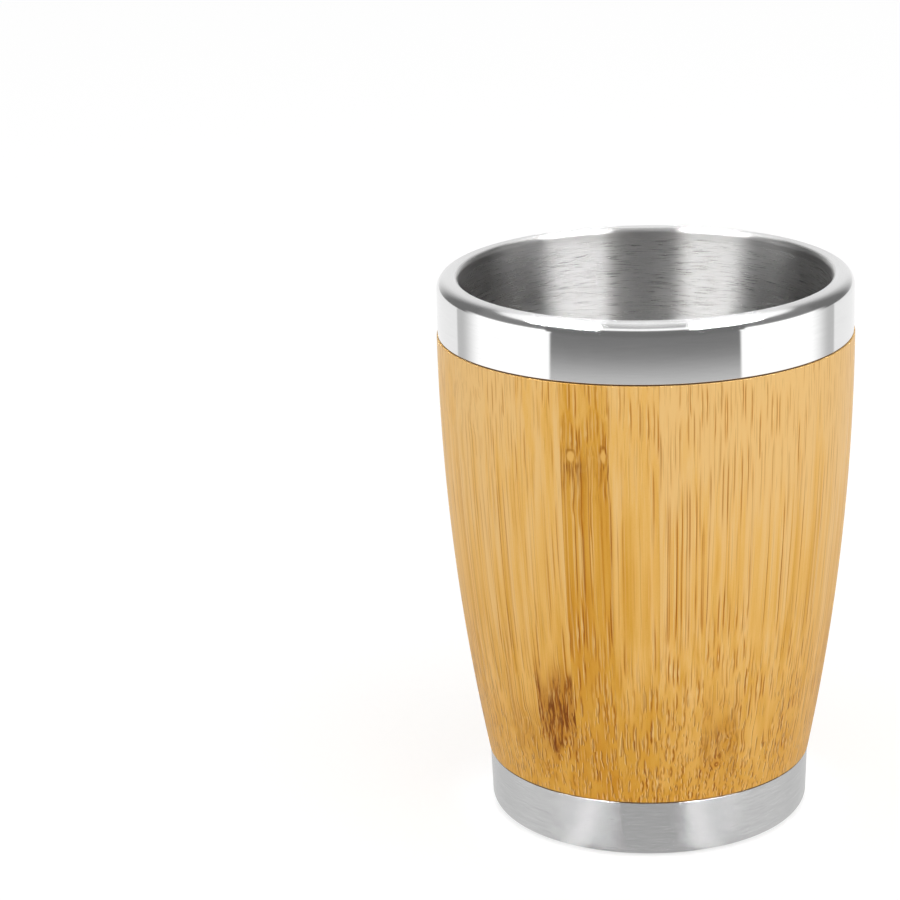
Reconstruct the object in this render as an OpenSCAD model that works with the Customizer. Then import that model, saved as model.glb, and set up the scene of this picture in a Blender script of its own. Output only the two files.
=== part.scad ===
// Bamboo cup: a pressed steel inner cup that hangs in a turned bamboo shell, with a steel collar and base.
// It stands on the XY plane, its axis is Z, and its front faces -Y.

/* [Overall] */
// Height from the table to the top of the lip
cup_h = 115; // [95:1:140]
// Diameter across the steel collar
rim_d = 85; // [78:1:100]
// Width of the rim, from the collar's outer face to the mouth
rim_w = 4.5; // [4.1:0.1:6]
// Diameter across the top of the steel base
base_d = 67.4; // [56:0.2:80]

/* [Steel collar] */
// Height of the collar, down from the top of the lip
collar_h = 12.2; // [9:0.2:18]
// Thickness of the collar
collar_t = 0.8; // [0.5:0.1:1]
// Radius of the lip's outer shoulder
lip_outer_r = 2.6; // [1.4:0.1:3]
// Radius of the lip's inner edge
lip_inner_r = 1.3; // [1.1:0.1:1.8]
// How far the lip turns down inside the mouth
lip_drop = 2.4; // [2:0.1:4]

/* [Steel inner cup] */
// Thickness of the inner cup
cup_t = 0.6; // [0.4:0.1:0.8]
// Height of its floor above the table
floor_h = 10.4; // [8.6:0.2:16]
// Radius inside the corner between its floor and its wall
floor_corner_r = 4; // [2:0.5:8]
// Width of the flange that it hangs by
flange_w = 2.4; // [1.6:0.1:2.8]
// Width of the flat ring between the floor's corner and the raised panel that stiffens the floor
floor_ring_w = 6.8; // [5:0.2:10]
// Rise of that panel
panel_rise = 0.8; // [0.4:0.1:1]

/* [Liner, seal and pad] */
// Thickness of the plastic liner's wall
liner_t = 0.8; // [0.5:0.1:1.1]
// Thickness of the liner's floor and of its flange
liner_floor_t = 1.2; // [0.8:0.1:1.8]
// Air space between the inner cup's wall and the liner
air_gap = 0.5; // [0.3:0.1:0.8]
// Height of the silicone seal under the inner cup's flange
seal_h = 1; // [0.6:0.1:1.6]
// Height of the foam pad between the two floors
pad_h = 1.2; // [0.8:0.1:2]
// How far the foam pad stays clear of the floor's corner
pad_margin = 1.8; // [1:0.1:3]

/* [Bamboo shell] */
// Number of bamboo staves glued side by side
stave_count = 27; // [18:1:45]
// Angle of the first glue joint, to the right of the front, in degrees
first_joint_a = 3.5; // [0:0.5:20]
// Radius of the curve that the side bows out along
side_r = 480; // [300:10:900]
// How far the bamboo stands proud of the steel at both ends
shell_proud = 0.2; // [0:0.1:0.5]
// Eased edge at both ends of the bamboo's face
edge_ease = 0.3; // [0.1:0.1:0.5]
// Whole thickness at the foot, from the base's outer face to the inside of the inner cup
foot_wall = 5.2; // [4.6:0.1:9]

/* [Steel base] */
// Height of the base
base_h = 12.2; // [10:0.2:16]
// Thickness of the base
base_t = 0.8; // [0.5:0.1:1.2]
// How much narrower the base's outer face is at the table than at its top
base_taper = 0.8; // [0:0.1:2]
// Radius of the base's lower edge
base_corner_r = 2; // [1.4:0.1:3]
// Width of the ring that the cup stands on, out to the base's outer face
foot_w = 6.3; // [4:0.1:8]
// Depth of the recess inside that ring
recess_depth = 1.5; // [0.5:0.1:2.5]

/* [Fits] */
// Gap between turned bamboo and the steel pushed over it
seat_gap = 0.2; // [0.1:0.05:0.4]
// Glue film between the liner and the bamboo
liner_gap = 0.1; // [0.05:0.05:0.3]
// Glue film between two staves
stave_gap = 0.05; // [0.02:0.01:0.1]
// Height of the adhesive bead between steel and bamboo
bead_h = 0.25; // [0.1:0.05:0.5]
// How far the bead lies back from the steel's face
bead_inset = 0.15; // [0:0.05:0.3]

/* [Hidden] */
$fn = 120;
// How far a cut runs past what it cuts
over = 1;
// Facets of the long side curve where it is drawn as a mesh
side_fn = 720;

// Radii and heights of the rim
rim_r = rim_d / 2;
mouth_r = rim_r - rim_w;
collar_z = cup_h - collar_h;
inner_edge_r = min(lip_inner_r, rim_w - lip_outer_r);

// The stack under the lip, from the inner cup's flange down to the bamboo
seat_z = cup_h - lip_drop;
flange_z = seat_z - cup_t;
seal_z = flange_z - seal_h;
tongue_z = seal_z - liner_floor_t;

// The stack under the inner cup, from its floor down to the liner's
cup_low_z = floor_h - cup_t;
pad_z = cup_low_z - pad_h;
liner_low_z = pad_z - liner_floor_t;

// Radii of the base and of the bamboo that it covers
base_r = base_d / 2;
foot_r = base_r - base_taper / 2;
base_slope = atan((base_r - foot_r) / base_h);
recess_r = foot_r - foot_w;
floor_r = base_r - foot_wall;

// The inner cup's straight wall, from its mouth down to its floor
wall_slope = atan((mouth_r - floor_r) / (seat_z - floor_h));

// The floor is flat inside flat_r, and its raised panel lies inside panel_r
flat_r = floor_r + floor_corner_r * (tan(wall_slope) - 1 / cos(wall_slope));
panel_r = flat_r - floor_ring_w;

// How far each surface lies outside the inner cup's inside face
liner_inside = cup_t + air_gap;
liner_outside = liner_inside + liner_t;
bore_offset = liner_outside + liner_gap;

// Bamboo that goes inside the collar and inside the base
tongue_r = rim_r - collar_t - seat_gap;
spigot_gap = base_t + seat_gap;
spigot_z = spigot_gap;
spigot_chamfer = base_corner_r - base_t + seat_gap;

// The side curve runs through the two ends of the bamboo's face
face_low_r = base_r + shell_proud;
face_high_r = rim_r + shell_proud;
face_h = collar_z - base_h;
face_chord = norm([face_high_r - face_low_r, face_h]);
face_lean = atan((face_high_r - face_low_r) / face_h);
side_reach = sqrt(side_r * side_r - face_chord * face_chord / 4);
side_x = (face_low_r + face_high_r) / 2 - side_reach * cos(face_lean);
side_z = (base_h + collar_z) / 2 + side_reach * sin(face_lean);

// Angle that one stave takes up, and the angle of the glue film beside it
pitch_a = 360 / stave_count;
film_a = 2 * asin(stave_gap / (2 * base_r));
front_a = -90;

// Bamboo tints in the order that the staves repeat them
stave_tints = ["#dca45a", "#e2b77c", "#d69a4c", "#e4bd86", "#dcae6c"];

function stave_name(i) = str("bamboo_stave_", i < 9 ? "0" : "", i + 1);

// Radius at height z of a surface that lies a given way outside the inner cup's inside face
function cone_r(z, offset) = mouth_r - (seat_z - z) * tan(wall_slope) + offset / cos(wall_slope);

// Radius at height z of a surface that lies a given way inside the base's outer face
function base_face_r(z, inset) = foot_r + z * tan(base_slope) - inset / cos(base_slope);

// Half section of everything inside a pan: a straight leaning wall, a flat floor, and an arc between them.
// The wall's line meets the floor at low_r and the top at high_r.
module pan(low_r, high_r, low_z, high_z, corner_r) {
    lean = atan((high_r - low_r) / (high_z - low_z));
    arc_x = low_r + corner_r * tan(lean) - corner_r / cos(lean);
    arc_z = low_z + corner_r;
    reach = corner_r + over;
    difference() {
        polygon([[0, low_z], [low_r, low_z], [high_r, high_z], [0, high_z]]);
        difference() {
            polygon([
                [arc_x, arc_z],
                [arc_x, low_z - over],
                [low_r + over, low_z - over],
                [arc_x + reach * cos(lean), arc_z - reach * sin(lean)]
            ]);
            translate([arc_x, arc_z])
                circle(r = corner_r);
        }
    }
}

// Half section of everything inside a surface parallel to the inner cup's inside face
module cup_space(offset, low_z, high_z, corner_r) {
    pan(cone_r(low_z, offset), cone_r(high_z, offset), low_z, high_z, corner_r);
}

// Half section of everything inside a surface parallel to the base's outer face
module base_space(inset, low_z, high_z, corner_r) {
    pan(base_face_r(low_z, inset), base_face_r(high_z, inset), low_z, high_z, corner_r);
}

// Half section of a raised disc with a sloping edge
module raised_disc(disc_r, low_z, rise) {
    polygon([
        [0, low_z - over],
        [disc_r, low_z - over],
        [disc_r, low_z],
        [disc_r - rise, low_z + rise],
        [0, low_z + rise]
    ]);
}

// Section of a ring
module ring_section(inner_r, outer_r, low_z, height) {
    translate([inner_r, low_z])
        square([outer_r - inner_r, height]);
}

// What an arc takes off an upper corner; side is 1 for a right-hand corner and -1 for a left-hand one
module corner_cut(x, z, arc_r, side) {
    translate([x - side * arc_r, z - arc_r])
        difference() {
            scale([side, 1])
                square(arc_r + over);
            circle(r = arc_r);
        }
}

// Section of a band whose two upper corners are rounded
module rounded_band(left_x, right_x, low_z, high_z, left_r, right_r) {
    difference() {
        ring_section(left_x, right_x, low_z, high_z - low_z);
        corner_cut(left_x, high_z, left_r, -1);
        corner_cut(right_x, high_z, right_r, 1);
    }
}

module rim_collar_section() {
    difference() {
        rounded_band(mouth_r, rim_r, collar_z + bead_h, cup_h, inner_edge_r, lip_outer_r);
        rounded_band(
            mouth_r + collar_t,
            rim_r - collar_t,
            collar_z - over,
            cup_h - collar_t,
            inner_edge_r - collar_t,
            lip_outer_r - collar_t
        );
        ring_section(mouth_r - over, mouth_r + collar_t + over, collar_z - over, seat_z - collar_z + over);
    }
}

module rim_collar() {
    color("lightgray")
        rotate_extrude()
            rim_collar_section();
}

module inner_cup_section() {
    difference() {
        cup_space(cup_t, cup_low_z, seat_z, floor_corner_r + cup_t);
        difference() {
            cup_space(0, floor_h, seat_z + over, floor_corner_r);
            raised_disc(panel_r, floor_h, panel_rise);
        }
        raised_disc(panel_r - cup_t, cup_low_z, panel_rise);
    }
    ring_section(cone_r(flange_z, cup_t / 2), mouth_r + flange_w, flange_z, cup_t);
}

module inner_cup() {
    color("silver")
        rotate_extrude()
            inner_cup_section();
}

module mouth_seal() {
    color("whitesmoke")
        rotate_extrude()
            ring_section(cone_r(flange_z, liner_inside), mouth_r + flange_w, seal_z, seal_h);
}

module insulating_liner_section() {
    difference() {
        cup_space(liner_outside, liner_low_z, seal_z, floor_corner_r + liner_outside);
        cup_space(liner_inside, pad_z, seal_z + over, floor_corner_r + liner_inside);
    }
    ring_section(cone_r(tongue_z, liner_inside + liner_t / 2), tongue_r, tongue_z, liner_floor_t);
}

module insulating_liner() {
    color("ivory")
        rotate_extrude()
            insulating_liner_section();
}

module floor_pad() {
    color("dimgray")
        rotate_extrude()
            ring_section(panel_r, flat_r - pad_margin, pad_z, pad_h);
}

module collar_bead() {
    color("saddlebrown")
        rotate_extrude()
            ring_section(tongue_r, rim_r - bead_inset, collar_z, bead_h);
}

module base_bead() {
    bead_z = base_h - bead_h;
    color("saddlebrown")
        rotate_extrude()
            ring_section(base_face_r(base_h, spigot_gap), base_r - bead_inset, bead_z, bead_h);
}

module base_cover_section() {
    base_top = base_h - bead_h;
    difference() {
        base_space(0, 0, base_top, base_corner_r);
        difference() {
            base_space(base_t, base_t, base_top + over, base_corner_r - base_t);
            raised_disc(recess_r + base_t, base_t, recess_depth);
        }
        raised_disc(recess_r, 0, recess_depth);
    }
}

module base_cover() {
    color("darkgray")
        rotate_extrude()
            base_cover_section();
}

// Outer outline of the bamboo between its two shoulders, with the long curve and the eased edges
module face_outline() {
    far_x = side_x + side_r;
    intersection() {
        translate([side_x, side_z])
            circle(r = side_r, $fn = side_fn);
        polygon([
            [0, base_h],
            [face_low_r - edge_ease, base_h],
            [far_x, base_h + far_x - face_low_r + edge_ease],
            [far_x, collar_z - far_x + face_high_r - edge_ease],
            [face_high_r - edge_ease, collar_z],
            [0, collar_z]
        ]);
    }
}

// Outline of the bamboo that goes down inside the base
module spigot_outline() {
    low_r = base_face_r(spigot_z, spigot_gap);
    high_z = base_h + over;
    chamfer_z = spigot_z + spigot_chamfer;
    polygon([
        [0, spigot_z],
        [low_r - spigot_chamfer, spigot_z],
        [base_face_r(chamfer_z, spigot_gap), chamfer_z],
        [base_face_r(base_h, spigot_gap), base_h],
        [base_face_r(base_h, spigot_gap), high_z],
        [0, high_z]
    ]);
}

module stave_section() {
    bore_low = spigot_z - over;
    bore_high = tongue_z + over;
    difference() {
        union() {
            face_outline();
            spigot_outline();
            ring_section(0, tongue_r, collar_z - over, tongue_z - collar_z + over);
        }
        polygon([
            [0, bore_low],
            [cone_r(bore_low, bore_offset), bore_low],
            [cone_r(bore_high, bore_offset), bore_high],
            [0, bore_high]
        ]);
    }
}

// Staves run round from the first glue joint towards +X, then behind and back to the front
module bamboo_stave(i) {
    color(stave_tints[i % len(stave_tints)])
        rotate([0, 0, front_a + first_joint_a + i * pitch_a + film_a / 2])
            rotate_extrude(angle = pitch_a - film_a)
                stave_section();
}

rim_collar();
inner_cup();
mouth_seal();
insulating_liner();
floor_pad();
collar_bead();
base_bead();
base_cover();
for (i = [0 : stave_count - 1]) bamboo_stave(i);
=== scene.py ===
"""Bamboo cup: the finish of a steel-lined bamboo tumbler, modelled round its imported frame."""

import math
import random
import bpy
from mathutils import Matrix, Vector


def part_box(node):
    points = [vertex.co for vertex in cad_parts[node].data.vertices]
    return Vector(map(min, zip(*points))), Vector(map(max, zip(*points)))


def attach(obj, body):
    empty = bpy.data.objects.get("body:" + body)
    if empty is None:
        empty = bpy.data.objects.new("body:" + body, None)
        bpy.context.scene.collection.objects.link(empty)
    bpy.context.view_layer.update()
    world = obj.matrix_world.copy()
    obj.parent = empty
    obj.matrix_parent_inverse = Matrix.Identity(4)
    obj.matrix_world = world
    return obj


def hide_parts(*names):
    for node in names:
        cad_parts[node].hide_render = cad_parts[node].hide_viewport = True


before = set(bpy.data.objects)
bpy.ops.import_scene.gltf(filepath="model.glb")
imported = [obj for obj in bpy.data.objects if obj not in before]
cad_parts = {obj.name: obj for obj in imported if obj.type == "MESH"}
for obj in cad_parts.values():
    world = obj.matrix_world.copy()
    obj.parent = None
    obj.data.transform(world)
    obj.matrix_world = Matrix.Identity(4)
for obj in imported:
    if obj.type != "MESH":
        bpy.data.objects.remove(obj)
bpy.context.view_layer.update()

from types import SimpleNamespace

import bmesh
import bpy
from mathutils import Matrix, Vector

bl_info = {
    "name": "Bamboo cup",
    "version": (1, 0, 0),
    "blender": (4, 5, 0),
    "location": "3D View > Sidebar > Cup",
    "description": "Models a steel-lined bamboo cup and its studio",
    "category": "Add Mesh",
}

BODY = "root"
MM = 0.001
TURN = 2 * math.pi
DEGREES = 180 / math.pi
UP = Vector((0, 0, 1))

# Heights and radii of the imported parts
LIP_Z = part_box("rim_collar")[1].z
COLLAR_LOW_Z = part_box("rim_collar")[0].z
COLLAR_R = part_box("rim_collar")[1].x
JOINT_HIGH_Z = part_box("collar_bead")[0].z
CUP_SEAT_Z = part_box("inner_cup")[1].z
CUP_LOW_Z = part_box("inner_cup")[0].z
FLANGE_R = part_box("inner_cup")[1].x
JOINT_LOW_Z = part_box("base_bead")[1].z
BASE_HIGH_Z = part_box("base_cover")[1].z
BASE_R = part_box("base_cover")[1].x
TONGUE_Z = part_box("bamboo_stave_01")[1].z
SPIGOT_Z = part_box("bamboo_stave_01")[0].z
STAVES = sorted(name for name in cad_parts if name.startswith("bamboo_stave"))
PITCH = TURN / len(STAVES)

# How finely the pieces are shaped
TURN_STEPS = 300
SIDE_STEPS = 40
STAVE_STEPS = 12
ROUNDING_STEPS = 14
SHARP_EDGE = math.radians(32)
TOUCHING = 0.001 * MM

# The bamboo's pattern, in millimetres on the cup
NODE_REACH = 16.0
NODE_BEND = 1.3
BUNDLE_R = 0.14
BUNDLE_R_SPREAD = 0.13
LINE_MIDDLE = 0.05
LINE_EDGE = 0.19
# Painted highlight: how far the pale stroke beside each dark fibre dash is shifted to its lit side
PAINTED_HIGHLIGHT_SHIFT = 0.16
# Paler towards the top: partly the wood's own tone, partly a painted soft highlight
PALEST_Z = 92.0
DARKER_PER_MM = 0.0068
SCARRED_STAVE = -2

# Every steel surface is brushed round and round, a quarter turn from the node's own direction
BRUSH_TURN = 0.25

# Where the panels and lamps that the steel mirrors begin, are full, fade and end, in degrees
PANEL_BEARING = (27.0, 28.5, 49.0, 62.0)
RING_LIFT = (42.0, 48.0, 63.0, 68.0)
STRIP_LIFT = (44.0, 47.0, 58.0, 64.0)
STRIP_BEARING = (12.6, 13.4, 33.0, 36.0)
EDGE_STRIP_BEARING = (50.6, 51.4, 52.4, 54.0)
LEVEL_VIEW = 0.959  # level part of the direction from the collar to the camera

# The two softboxes, in metres
SOFTBOX_TURN = math.radians(45)
SOFTBOX_LIFT = math.radians(50)
SOFTBOX_DISTANCE = 0.9
SOFTBOX_WIDTH = 0.8

# The camera, measured on the photograph in its pixels
FRAME_PX = 900.0
FOCAL_PX = 3035.0
CUP_RIGHT_PX = 196.75
CUP_DOWN_PX = 103.05
CAMERA_ROLL = math.radians(-0.35)
AIM_Z = 54.09 * MM


def length(name, description, default, low=0.0, high=1.0):
    """A size that is shown in the scene's own units."""
    return bpy.props.FloatProperty(
        name=name, description=description, default=default, min=low, max=high, unit="LENGTH", precision=5
    )


def tint(name, description, default):
    """A colour that is picked on a colour wheel."""
    return bpy.props.FloatVectorProperty(
        name=name, description=description, default=default, min=0, max=1, size=3, subtype="COLOR"
    )


def share(name, description, default, high=1.0):
    """A plain number from zero up."""
    return bpy.props.FloatProperty(name=name, description=description, default=default, min=0, max=high)


def angle(name, description, degrees):
    """An angle that is shown in degrees."""
    return bpy.props.FloatProperty(
        name=name, description=description, default=math.radians(degrees), subtype="ANGLE"
    )


class CupSizes(bpy.types.PropertyGroup):
    """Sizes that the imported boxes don't give"""

    rim_width: length("Rim width", "From the collar's outer face to the mouth", 4.5 * MM)
    collar_wall: length("Collar wall", "Thickness of the collar", 0.8 * MM)
    lip_shoulder: length("Lip shoulder", "Radius of the lip's outer shoulder", 2.6 * MM)
    lip_edge: length("Lip edge", "Radius of the lip's inner edge", 1.3 * MM)
    cup_wall: length("Inner cup wall", "Thickness of the inner cup", 0.6 * MM)
    floor_corner: length("Floor corner", "Radius between the inner cup's floor and wall", 4 * MM)
    foot_wall: length("Foot wall", "From the base's outer face to the inside of the inner cup", 5.2 * MM)
    floor_ring: length("Floor ring", "Flat ring round the panel in the inner cup's floor", 6.8 * MM)
    panel_rise: length("Panel rise", "Rise of that panel", 0.8 * MM)
    panel_edge: length("Panel edge", "Radius of the pressed edges of both panels", 0.9 * MM)
    base_wall: length("Base wall", "Thickness of the base", 0.8 * MM)
    base_taper: length("Base taper", "How much narrower the base is at the table, in diameter", 0.8 * MM)
    base_corner: length("Base corner", "Radius of the base's lower edge", 2 * MM)
    foot_width: length("Foot width", "Width of the ring that the cup stands on", 6.3 * MM)
    recess_depth: length("Recess depth", "Depth of the recess inside the foot ring", 1.5 * MM)
    rolled_edge: length("Rolled edge", "Radius of the steel's cut edges", 0.15 * MM)
    bead_inset: length("Bead inset", "How far the glue lines lie back from the steel", 0.15 * MM)
    shell_proud: length("Shell proud", "How far the bamboo stands proud of the steel", 0.2 * MM)
    side_radius: length("Side radius", "Radius of the curve that the side bows out along", 480 * MM)
    edge_ease: length("Edge ease", "Eased edge at both ends of the bamboo's face", 0.1 * MM)
    joint_ease: length("Joint ease", "Eased edge along each glue joint", 0.015 * MM)
    seat_gap: length("Seat gap", "Gap between the bamboo and the steel pushed over it", 0.2 * MM)
    liner_stack: length("Liner stack", "From the inner cup's inside face to the bamboo's bore", 2 * MM)
    glue_film: length("Glue film", "Gap between two staves", 0.01 * MM)
    first_joint: angle("First joint", "Angle of the first glue joint, to the right of the front", 3.5)


class BambooLook(bpy.types.PropertyGroup):
    """Colours of the carbonised bamboo"""

    straw: tint("Straw", "Palest wood", (0.87, 0.55, 0.205))
    wheat: tint("Wheat", "Pale wood", (0.85, 0.495, 0.13))
    honey: tint("Honey", "Middle tone", (0.73, 0.375, 0.05))
    amber: tint("Amber", "Darkest wood", (0.61, 0.255, 0.010))
    # Pith colours the pith and also the painted highlights beside the fibres; fibre also colours their
    # painted shade side
    pith_and_highlight: tint("Pith", "Pale strokes between the fibres", (1.0, 0.71, 0.29))
    glow: tint("Glow", "Share of the wood's colour left round the fibres", (0.96, 0.82, 0.60))
    fibre: tint("Fibre", "Share of the wood's colour left in a dark fibre", (0.46, 0.27, 0.02))
    haze: tint("Haze", "Share of the wood's colour left round a scorched node", (0.66, 0.50, 0.30))
    stain: tint("Stain", "Scorched streaks at a node", (0.20, 0.05, 0.0))
    shine: share("Shine", "Specular level of the wood under the lacquer", 0.12)
    coat: share("Lacquer", "Weight of the clear lacquer", 0.1)
    coat_roughness: share("Lacquer roughness", "Roughness of the clear lacquer", 0.22)
    roughness: share("Wood roughness", "Roughness of the wood under the lacquer", 0.42)


class SteelLook(bpy.types.PropertyGroup):
    """Colours and finishes of the steel"""

    polished: tint("Polished", "Collar", (0.80, 0.80, 0.80))
    brushed: tint("Brushed", "Inner cup", (0.57, 0.565, 0.56))
    satin: tint("Satin", "Base", (0.70, 0.70, 0.70))
    polished_roughness: share("Polished roughness", "Roughness of the collar", 0.07)
    brushed_roughness: share("Brushed roughness", "Roughness of the inner cup", 0.29)
    satin_roughness: share("Satin roughness", "Roughness of the base", 0.24)
    anisotropy: share("Brushing", "How far highlights stretch across the brushing", 1.0)
    brush_depth: length("Brush depth", "Depth of the brush's grooves inside the cup", 0.009 * MM)


class StageLook(bpy.types.PropertyGroup):
    """Floor, lamps and camera"""

    floor: tint("Floor", "Colour of the floor", (0.86, 0.86, 0.86))
    floor_size: length("Floor size", "Width of the floor", 6.0, high=20.0)
    sky: share("Sky", "Plain light from all round", 0.78, high=4.0)
    softbox: share("Softboxes", "Brightness of the two softboxes beside the camera", 0.9, high=20.0)
    panel: share("Panels", "Brightness of the mirrored white panels", 1.6, high=20.0)
    ring: share("Ring", "Brightness of the mirrored ring lamp", 1.4, high=20.0)
    strip: share("Strips", "Brightness of the two lamps in it beside the camera", 30.0, high=200.0)
    hot_strip: share("Hot strips", "Brightness of those lamps' inner ends", 66.0, high=200.0)
    edge_strip: share("Edge strips", "Brightness of the narrow lamps further round it", 28.0, high=200.0)
    camera_distance: length("Camera distance", "From camera to cup", 638 * MM, high=10.0)
    camera_height: angle("Camera elevation", "Angle above the table", 19.4)


class HiddenLook(bpy.types.PropertyGroup):
    """Colours of the glue and of the pieces inside the wall"""

    glue: tint("Glue", "Glue lines between steel and bamboo", (0.10, 0.05, 0.025))
    seal: tint("Seal", "Silicone seal under the inner cup's flange", (0.80, 0.80, 0.78))
    liner: tint("Liner", "Plastic liner", (0.82, 0.81, 0.76))
    pad: tint("Pad", "Foam pad between the two floors", (0.05, 0.05, 0.05))


def sizes():
    """The cup's sizes, as they are set in the scene."""
    return bpy.context.scene.cup_sizes


class Wire:
    """An output socket, on which Python's operators add Math nodes."""

    def __init__(self, shader, socket):
        self.shader = shader
        self.socket = socket

    def __add__(self, other):
        return self.shader.math("ADD", self, other)

    def __radd__(self, other):
        return self.shader.math("ADD", other, self)

    def __sub__(self, other):
        return self.shader.math("SUBTRACT", self, other)

    def __rsub__(self, other):
        return self.shader.math("SUBTRACT", other, self)

    def __mul__(self, other):
        return self.shader.math("MULTIPLY", self, other)

    def __rmul__(self, other):
        return self.shader.math("MULTIPLY", other, self)

    def __truediv__(self, other):
        return self.shader.math("DIVIDE", self, other)

    def __rtruediv__(self, other):
        return self.shader.math("DIVIDE", other, self)

    def __abs__(self):
        return self.shader.math("ABSOLUTE", self)


class Shader:
    """A node tree that is written as expressions."""

    def __init__(self, tree):
        self.tree = tree
        self.tree.nodes.clear()

    def node(self, kind, settings=None, inputs=None, output=0):
        """Adds one node: settings first, then socket values or links. Returns one of its outputs."""
        made = self.tree.nodes.new(kind)
        for name, value in (settings or {}).items():
            if name == "stops":
                self.set_stops(made.color_ramp, value)
            else:
                setattr(made, name, value)
        for name, value in (inputs or {}).items():
            socket = made.inputs[name]
            if isinstance(value, Wire):
                self.tree.links.new(value.socket, socket)
            else:
                socket.default_value = value
        return Wire(self, made.outputs[output]) if made.outputs else made

    def set_stops(self, ramp, stops):
        """Gives a colour ramp its positions and colours."""
        while len(ramp.elements) < len(stops):
            ramp.elements.new(1)
        for element, (position, colour) in zip(ramp.elements, stops):
            element.position = position
            element.color = colour

    def math(self, operation, *values):
        """One Math node."""
        return self.node("ShaderNodeMath", {"operation": operation}, dict(enumerate(values)))

    def smooth(self, low, high, value, bottom=0.0, top=1.0):
        """Runs smoothly from bottom to top while the value runs from low to high."""
        return self.node(
            "ShaderNodeMapRange",
            {"interpolation_type": "SMOOTHSTEP"},
            {"Value": value, "From Min": low, "From Max": high, "To Min": bottom, "To Max": top},
        )

    def window(self, value, low, full, fading, high):
        """Nought outside low and high, and one from full to fading."""
        return self.smooth(low, full, value) * self.smooth(fading, high, value, 1.0, 0.0)

    def blend(self, factor, one, other, blend_type="MIX"):
        """A colour between two colours."""
        settings = {"data_type": "RGBA", "blend_type": blend_type, "clamp_result": False}
        return self.node("ShaderNodeMix", settings, {0: factor, 6: one, 7: other}, output=2)

    def point(self, x, y, z=0.0):
        """A place in a pattern, from its coordinates."""
        return self.node("ShaderNodeCombineXYZ", None, {"X": x, "Y": y, "Z": z})

    def split(self, vector):
        """The three coordinates of a place, or channels of a colour."""
        return [self.node("ShaderNodeSeparateXYZ", None, {"Vector": vector}, output=i) for i in range(3)]

    def dot(self, one, other):
        settings = {"operation": "DOT_PRODUCT"}
        return self.node("ShaderNodeVectorMath", settings, {0: one, 1: other}, output="Value")

    def scaled(self, vector, factor):
        settings = {"operation": "SCALE"}
        return self.node("ShaderNodeVectorMath", settings, {"Vector": vector, "Scale": factor})

    def millimetres(self):
        """The place on the object, in millimetres."""
        place = self.node("ShaderNodeTexCoord", None, None, "Object")
        return self.scaled(place, 1 / MM)

    def noise(self, vector, scale=1.0, detail=2.0, roughness=0.5, output="Fac"):
        inputs = {"Vector": vector, "Scale": scale, "Detail": detail, "Roughness": roughness}
        return self.node("ShaderNodeTexNoise", {"noise_dimensions": "3D"}, inputs, output)

    def value_of(self, name):
        """A number that the piece's mesh carries."""
        return self.node("ShaderNodeAttribute", {"attribute_name": name}, None, "Fac")

    def vector_of(self, name):
        """A direction that the piece's mesh carries."""
        return self.node("ShaderNodeAttribute", {"attribute_name": name}, None, "Vector")

    def bump(self, height, distance, strength=1.0):
        """A normal that is tilted by the slope of a height."""
        inputs = {"Height": height, "Distance": distance, "Strength": strength}
        return self.node("ShaderNodeBump", None, inputs)

    def light_path(self, kind):
        """One for a ray of this kind, nought for any other."""
        return self.node("ShaderNodeLightPath", None, None, f"Is {kind} Ray")

    def surface(self, **inputs):
        """The finished surface, from the Principled shader's own socket names."""
        named = {name.replace("_", " "): value for name, value in inputs.items()}
        shading = self.node("ShaderNodeBsdfPrincipled", None, named)
        self.node("ShaderNodeOutputMaterial", None, {"Surface": shading})


def new_material(name):
    """An empty material, and the shader that it is written in."""
    material = bpy.data.materials.new(name)
    material.use_nodes = True
    return material, Shader(material.node_tree)


def rgba(colour, strength=1.0):
    """A colour with its alpha, made paler or darker by a strength."""
    return (*[channel * strength for channel in colour], 1.0)


def brushed_lines(shader, place, round_share, height_scale):
    """Fine lines that run round the cup: long in the turning direction and short across it."""
    x, y, z = shader.split(place)
    angle = shader.math("ARCTAN2", y, x)
    across = z - shader.math("SQRT", x * x + y * y)
    seam = shader.math("COSINE", angle)
    around = shader.point(angle * round_share, across * height_scale, seam * round_share)
    return shader.noise(around, detail=4.0, roughness=0.65)


def brushed_relief(shader, place, fine_scale, coarse_scale):
    """Height of the grooves that the brush leaves, and their lighter and darker streaks."""
    fine = brushed_lines(shader, place, 7.0, fine_scale)
    coarse = brushed_lines(shader, place, 2.5, coarse_scale)
    return fine + coarse * 0.2, shader.smooth(0.3, 0.7, fine * 0.75 + coarse * 0.25)


def collar_steel(look, mouth_r):
    """Collar: polished outside, satin over the lip and brushed inside the mouth."""
    material, shader = new_material("polished_steel")
    place = shader.millimetres()
    x, y, z = shader.split(place)
    radius = shader.math("SQRT", x * x + y * y)
    inside = shader.smooth(mouth_r / MM + 0.3, mouth_r / MM + 0.9, radius, 1.0, 0.0)
    lip = shader.smooth(LIP_Z / MM - 1.6, LIP_Z / MM - 0.2, z)
    relief, streaks = brushed_relief(shader, place, 7.0, 1.6)
    smudge = shader.noise(place, scale=0.12, detail=3.0)
    outer = shader.blend(streaks, rgba(look.polished, 0.96), rgba(look.polished, 1.02))
    inner = shader.blend(streaks, rgba(look.brushed, 0.88), rgba(look.brushed, 1.1))
    polish = look.polished_roughness + smudge * 0.03 + lip * 0.13
    shader.surface(
        Base_Color=shader.blend(inside, outer, inner),
        Metallic=1.0,
        Roughness=polish + inside * (look.brushed_roughness - polish),
        Normal=shader.bump(relief * inside, look.brush_depth),
        Anisotropic=look.anisotropy,
        Anisotropic_Rotation=BRUSH_TURN,
    )
    return material


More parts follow.
